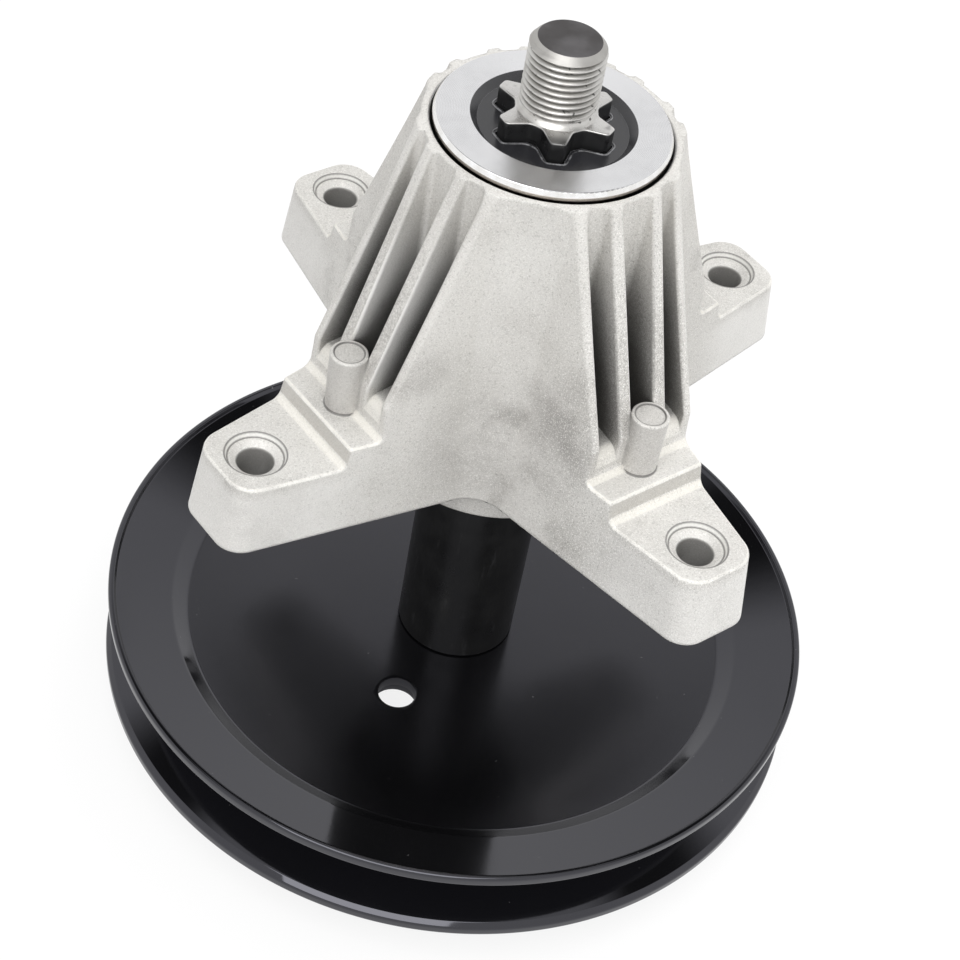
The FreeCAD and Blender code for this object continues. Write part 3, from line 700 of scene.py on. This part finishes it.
bead = np.linspace(0, 2 * np.pi, lip_sides, endpoint=False)
bead = lip_size * np.column_stack([np.cos(bead), np.sin(bead)])
lip_path = star_ring(dish_floor + lip_lift, lip_offset, lip_corner)
burr = skin_round("star_hole_burr", carried_round(lip_path, bead))
burr_black, tree, surface = finish("burr_black", IOR=1.6)
where, (x, y, z), radius = place_of(tree)
rub = grain(tree, where, 420, 3)
lip_wear_and_highlight = tint(tree, between(tree, rub, 0.35, 0.7), (0.03, 0.03, 0.032), (0.22, 0.22, 0.23))
plug(tree, surface.inputs["Base Color"], lip_wear_and_highlight)
plug(tree, surface.inputs["Roughness"], between(tree, rub, 0.3, 0.7, 0.2, 0.34))
burr.data.materials.append(burr_black)
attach(burr, "rotor")

# The blade seat hub: a turned steel disc on the star. Its seat ring is faced
# bright with fine lathe rings, its bevel is painted white as painted highlight, and its dish is left
# black, with its edges painted lighter as wear and painted highlight. Painted shade darkens its side
# where it stands in the housing's mouth.
seat_inner = 17.1 * mm
seat_bevel = 24.0 * mm
seat_plane = 79.95 * mm
lathe_feed = 0.32 * mm
seat_steel, tree, surface = finish("seat_steel", Anisotropic=0.8, IOR=1.6)
where, (x, y, z), radius = place_of(tree)
rings_cut = sum_of(tree, "SINE", product(tree, radius, 2 * math.pi / lathe_feed))
uneven = grain(tree, where, 340, 4)
ring_tone = sum_of(tree, "ADD", product(tree, rings_cut, 0.3), product(tree, uneven, 0.5))
bright_ring = tint(tree, between(tree, ring_tone, -0.1, 0.6), (0.74, 0.74, 0.75), (0.82, 0.82, 0.835))
dish_black = tint(tree, uneven, (0.010, 0.010, 0.0115), (0.026, 0.026, 0.030))
# The dish's edges are painted lighter: wear and painted highlight.
dish_edge_wear_and_highlight = edge_wear(tree, 0.25 * mm, 0.03, 0.2)
dish_black = tint(tree, product(tree, dish_edge_wear_and_highlight, 0.7), dish_black, (0.30, 0.30, 0.31))
side_brown = tint(tree, uneven, (0.60, 0.545, 0.49), (0.82, 0.76, 0.70))
in_ring = sum_of(tree, "GREATER_THAN", radius, seat_inner)
# Painted shade where the side stands in the housing's mouth.
gap_painted_shade = between(tree, z, rim_plane - 0.1 * mm, rim_plane + 0.25 * mm, 1.0, 0.0)
side_brown = tint(tree, gap_painted_shade, side_brown, (0.03, 0.027, 0.024))
below_bevel = between(tree, z, seat_plane - 1.2 * mm, seat_plane - 1.05 * mm, 1.0, 0.0)
# The bevel is painted white: painted highlight.
on_bevel = between(tree, radius, seat_bevel - 0.05 * mm, seat_bevel + 0.05 * mm)
bevel_painted_highlight = tint(tree, between(tree, uneven, 0.35, 0.65), (0.86, 0.85, 0.83), (0.97, 0.97, 0.97))
bright_ring = tint(tree, on_bevel, bright_ring, bevel_painted_highlight)
plug(tree, surface.inputs["Base Color"],
     tint(tree, in_ring, dish_black, tint(tree, below_bevel, bright_ring, side_brown)))
plug(tree, surface.inputs["Metallic"], in_ring)
plug(tree, surface.inputs["Roughness"], between(tree, uneven, 0.3, 0.7, 0.21, 0.27))
direction = tree.nodes.new("ShaderNodeTangent")
direction.direction_type = "RADIAL"
direction.axis = "Z"
tree.links.new(direction.outputs["Tangent"], surface.inputs["Tangent"])
relief(tree, surface, product(tree, rings_cut, in_ring), 0.05, 0.05 * mm)
dress("blade_seat_hub", seat_steel)

# The pulley: two halves stamped from steel sheet, back to back, under gloss
# black paint with a faint orange peel and a few specks of dust. The web is a
# little duller than the flanks, and the wall of its hole is matt.
sheet = 2.66
mating_plane = web_top - sheet
rim_radius = 84.45
web_edge = 65.4
ramp_radius = 69.2
ramp_rise = 2.8
lip_foot = 82.6
lip_foot_rise = 6.9
lip_wall = 0.5
lip_rise = 8.0
rim_face = 2.3
rim_inset = 1.2
bend_radii = (1.5, 2.5, 0.3, 0.35, 0.9, 0.9, 0.5, 2.0, 1.2)
bore_clearance = 0.1
hole_reach = 30.2
hole_turn = math.radians(-108.7)
hole_edge = 0.3
upper_hole = 4.4
lower_hole = 5.2
web_inner_rings = (13.0, 16.0)
web_outer_rings = (50.0, 60.0)
window_half = 6.6
window = 20
columns = 288

gloss_paint, tree, surface = finish("gloss_black_paint", IOR=1.7, Specular_Tint=(0.89, 0.89, 1.0, 1))
where, (x, y, z), radius = place_of(tree)
peel = grain(tree, where, 330, 2)
haze = grain(tree, where, 28, 3)
specks = between(tree, grain(tree, where, 900, 2), 0.76, 0.80)
paint = tint(tree, haze, (0.0010, 0.0010, 0.0011), (0.0024, 0.0024, 0.0028))
paint = tint(tree, product(tree, specks, 0.5), paint, (0.16, 0.16, 0.16))
paint = tint(tree, product(tree, edge_wear(tree, 0.3 * mm, 0.05, 0.3), 0.35), paint, (0.05, 0.05, 0.055))
plug(tree, surface.inputs["Base Color"], paint)
on_web = between(tree, radius, (web_edge - 0.4) * mm, (ramp_radius - 1.2) * mm, 1.0, 0.0)
flank_gloss = between(tree, haze, 0.35, 0.65, 0.05, 0.09)
gloss = sum_of(tree, "ADD", flank_gloss, product(tree, on_web, 0.12))
hole_wall = product(tree, on_web, between(tree, z, (web_top - 0.2) * mm, (web_top - 0.1) * mm, 0.6, 0.0))
plug(tree, surface.inputs["Roughness"], sum_of(tree, "ADD", gloss, hole_wall))
relief(tree, surface, peel, 0.05, 0.08 * mm)


def rounded_outline(corners, radii):
    """Open outline whose corners are rounded to given radii.

    A corner is cut back by its radius times the tangent of half the turn.
    """
    back, onward = sides_of(corners[1:-1], corners[:-2], corners[2:])
    bend = np.pi - np.arccos(np.clip((back * onward).sum(axis=1), -1, 1))
    return bridged(corners[1:-1], back, onward, (radii * np.tan(bend / 2))[:, None, None], 9)


def window_edge(index, inner, outer):
    """Points round a window of the web: along its inner ring, out, back along the outer ring, and in."""
    return np.concatenate([index[inner, :window], index[inner:outer, window],
                           index[outer, window:0:-1], index[outer:inner:-1, 0]])


def pressed_half(name, hole_radius, turned_over):
    """Stamping turned about the shaft axis, with one round hole through its web.

    Vertex (i, j) is outline point i at heading j, and the first and last outline points keep
    to the bore, whose radius at a heading is the lesser of a circle and two flats. The cells in
    a window of the web round the hole are left out of both faces. Rings of points lead from the
    window's edge to the hole, down its wall and back to the window on the other face.
    """
    flank = math.atan2(lip_foot_rise - ramp_rise, lip_foot - ramp_radius)
    ramp = math.atan2(ramp_rise, ramp_radius - web_edge)
    under = (rim_radius - ramp_radius) * math.tan(flank) + ramp_rise - sheet / math.cos(flank)
    corners = np.array([
        (web_outer_rings[-1], 0), (web_edge, 0), (ramp_radius, ramp_rise), (lip_foot, lip_foot_rise),
        (lip_foot + lip_wall, lip_rise), (rim_radius, lip_rise), (rim_radius, lip_rise - rim_face),
        (rim_radius - rim_inset, under),
        (ramp_radius + sheet * math.tan((ramp + flank) / 2) * math.sin(flank), ramp_rise - sheet),
        (web_edge + sheet * math.tan(ramp / 2), -sheet), (web_outer_rings[-1], -sheet)])
    window_rings = np.linspace(hole_reach - window_half, hole_reach + window_half, 9)
    web = np.concatenate([web_inner_rings, window_rings, web_outer_rings])
    line = np.concatenate([np.column_stack([web, 0 * web]), rounded_outline(corners, np.array(bend_radii)),
                           np.column_stack([web[::-1], 0 * web - sheet])])
    heading = hole_turn + (np.arange(columns) - window / 2) * 2 * np.pi / columns
    flats = (flat_half + bore_clearance) / np.maximum(np.abs(np.sin(heading)), 1e-6)
    bore = np.minimum(thread_radius + bore_clearance, flats)
    reach = np.concatenate([bore[None], np.repeat(line[:, :1], columns, axis=1), bore[None]])
    rise = np.repeat(np.concatenate([[0], line[:, 1], [-sheet]])[:, None], columns, axis=1) + web_top
    grid = np.stack([reach * np.cos(heading), reach * np.sin(heading), rise], axis=-1).reshape(-1, 3)
    index = np.arange(reach.size).reshape(reach.shape)
    over = np.roll(index, -1, axis=0)
    cells = np.stack([index, over, np.roll(over, -1, axis=1), np.roll(index, -1, axis=1)], axis=-1)
    inner = 1 + len(web_inner_rings)
    outer = inner + len(window_rings) - 1
    kept = np.ones(reach.shape, dtype=bool)
    kept[inner:outer, :window] = False
    kept[-outer - 1:-inner - 1, :window] = False
    top_edge = window_edge(index, inner, outer)
    base_edge = window_edge(index[::-1], inner, outer)
    middle = hole_reach * np.array([math.cos(hole_turn), math.sin(hole_turn)])
    out = grid[top_edge, :2] - middle
    far = np.linalg.norm(out, axis=1)[:, None]
    out = out / far
    edge = hole_edge
    arc = 0.3 * hole_edge
    share = np.array([0.6, 0.25, 0, 0, 0, 0, 0, 0, 0.25, 0.6])[:, None, None]
    broken = np.array([edge, edge, edge, arc, 0, 0, arc, edge, edge, edge])[:, None, None]
    drop = np.array([0, 0, 0, arc, edge, sheet - edge, sheet - arc, sheet, sheet, sheet])[:, None, None]
    level = middle + out * (share * far + (1 - share) * (hole_radius + broken))
    rings = np.concatenate([level, np.broadcast_to(web_top - drop, level.shape[:2] + (1,))], axis=-1)
    ring_index = reach.size + np.arange(rings.shape[0] * rings.shape[1]).reshape(rings.shape[:2])
    rows = np.concatenate([top_edge[None], ring_index, base_edge[None]])
    beside = np.roll(rows, -1, axis=1)
    wall = np.stack([rows[:-1], rows[1:], beside[1:], beside[:-1]], axis=-1)
    points = np.concatenate([grid, rings.reshape(-1, 3)])
    faces = np.concatenate([cells[kept], wall.reshape(-1, 4)])
    if turned_over:
        points = points * (1, 1, -1) + (0, 0, 2 * mating_plane)
        faces = faces[:, ::-1]
    piece = made_piece(name, points, faces.tolist(), crease)
    piece.data.materials.append(gloss_paint)
    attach(piece, "rotor")
    return piece


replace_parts(pressed_half("pressed_upper_half", upper_hole, False), "pulley_upper_half")
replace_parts(pressed_half("pressed_lower_half", lower_hole, True), "pulley_lower_half")

# The pulley nut: a hex flange nut, cold formed and zinc plated, that clamps
# the pulley and the spacers against the bearings.
zinc, tree, surface = finish("zinc_plate", Metallic=1.0)
where, (x, y, z), radius = place_of(tree)
spangle = grain(tree, where, 260, 4)
scratches = grain(tree, where, 700, 3, (1, 1, 0.15))
plated = tint(tree, between(tree, spangle, 0.35, 0.65), (0.50, 0.51, 0.53), (0.66, 0.66, 0.64))
plated = tint(tree, edge_wear(tree, 0.4 * mm, 0.03, 0.2), plated, (0.78, 0.78, 0.77))
plug(tree, surface.inputs["Base Color"], plated)
plug(tree, surface.inputs["Roughness"], between(tree, scratches, 0.3, 0.7, 0.24, 0.42))
relief(tree, surface, scratches, 0.12, 0.06 * mm)
dress("pulley_nut", zinc)

# The stand for the picture: a pale floor under soft white light from all round,
# with large soft lamps in front, behind and at the right. Shiny pieces also
# mirror a dim band high up behind, which darkens the front of the pulley.
floor_half = 4.0
floor_gap = 0.2 * mm
floor_level = machined_box[0][2] - floor_gap
floor_mesh = bpy.data.meshes.new("pale_floor")
floor_mesh.from_pydata([(-floor_half, -floor_half, floor_level), (floor_half, -floor_half, floor_level),
                        (floor_half, floor_half, floor_level), (-floor_half, floor_half, floor_level)],
                       [], [(0, 1, 2, 3)])
floor = bpy.data.objects.new("pale_floor", floor_mesh)
bpy.context.scene.collection.objects.link(floor)


def seen_directly(tree):
    """1 for a ray from the camera, or one that a mirror or a clear piece sends on."""
    path = tree.nodes.new("ShaderNodeLightPath").outputs
    return greatest(tree, path["Is Camera Ray"], path["Is Glossy Ray"], path["Is Transmission Ray"])


pale, tree, surface = finish("pale_floor", Roughness=0.9)
floor_tone = tint(tree, seen_directly(tree), (0.32, 0.32, 0.32), (0.97, 0.97, 0.97))
plug(tree, surface.inputs["Base Color"], floor_tone)
glow = tree.nodes.new("ShaderNodeEmission")
glow.inputs["Color"].default_value = (1, 1, 1, 1)
glow.inputs["Strength"].default_value = 1.0
share = tree.nodes.new("ShaderNodeMixShader")
tree.links.new(product(tree, seen_directly(tree), 0.84), share.inputs[0])
tree.links.new(surface.outputs[0], share.inputs[1])
tree.links.new(glow.outputs[0], share.inputs[2])
tree.links.new(share.outputs[0], tree.nodes["Material Output"].inputs["Surface"])
floor_mesh.materials.append(pale)

world = bpy.data.worlds.new("studio")
bpy.context.scene.world = world
world.use_nodes = True
tree = world.node_tree
sky = tree.nodes["Background"]
sky.inputs["Color"].default_value = (1, 1, 1, 1)
heading = tree.nodes.new("ShaderNodeSeparateXYZ")
tree.links.new(tree.nodes.new("ShaderNodeTexCoord").outputs["Generated"], heading.inputs[0])
path = tree.nodes.new("ShaderNodeLightPath").outputs
mirrored = greatest(tree, path["Is Glossy Ray"], path["Is Transmission Ray"])
high_up = between(tree, heading.outputs["Z"], 0.705, 0.815, 1.0, 0.05)
overhead = between(tree, heading.outputs["Z"], 0.87, 0.93, 0.0, 0.85)
behind = between(tree, heading.outputs["Y"], -0.2, 0.05)
dimmed = product(tree, behind, sum_of(tree, "SUBTRACT", 1.0, high_up))
mirror_light = product(tree, mirrored, greatest(tree, sum_of(tree, "SUBTRACT", 1.0, dimmed), overhead))
diffuse = between(tree, seen_directly(tree), 0.0, 1.0, 0.78, 0.0)
plug(tree, sky.inputs["Strength"], greatest(tree, mirror_light, path["Is Camera Ray"], diffuse))


def lamp(name, energy, size, place, lean, facing, mirrored):
    """Square soft lamp at a place, leaning from straight down and facing a heading."""
    light = bpy.data.lights.new(name, "AREA")
    light.energy = energy
    light.size = size
    stand = bpy.data.objects.new(name, light)
    stand.location = place
    stand.rotation_euler = (math.radians(lean), 0, math.radians(facing))
    stand.visible_glossy = mirrored
    bpy.context.scene.collection.objects.link(stand)


lamp("front_lamp", 6.4, 0.8, (-0.1, -0.6, 0.85), 35, -8, True)
lamp("back_lamp", 4.0, 0.8, (0.45, 0.5, 0.8), 40, 138, False)
lamp("side_lamp", 2.4, 0.8, (0.70, -0.30, 0.05), 86, 67, False)

# The camera stands where the picture was taken. Its place, lean and lens were
# solved from the spindle's round edges and its four bolt holes.
view = bpy.data.cameras.new("camera")
view.sensor_width = 36
view.lens = 84.03
view.clip_start = 0.01
camera = bpy.data.objects.new("camera", view)
camera.location = (0.00299, -0.37442, 0.33700)
camera.rotation_euler = [math.radians(a) for a in (45.6248, -8.12, 8.3991)]
bpy.context.scene.collection.objects.link(camera)
bpy.context.scene.camera = camera
bpy.context.scene.view_settings.view_transform = "Standard"
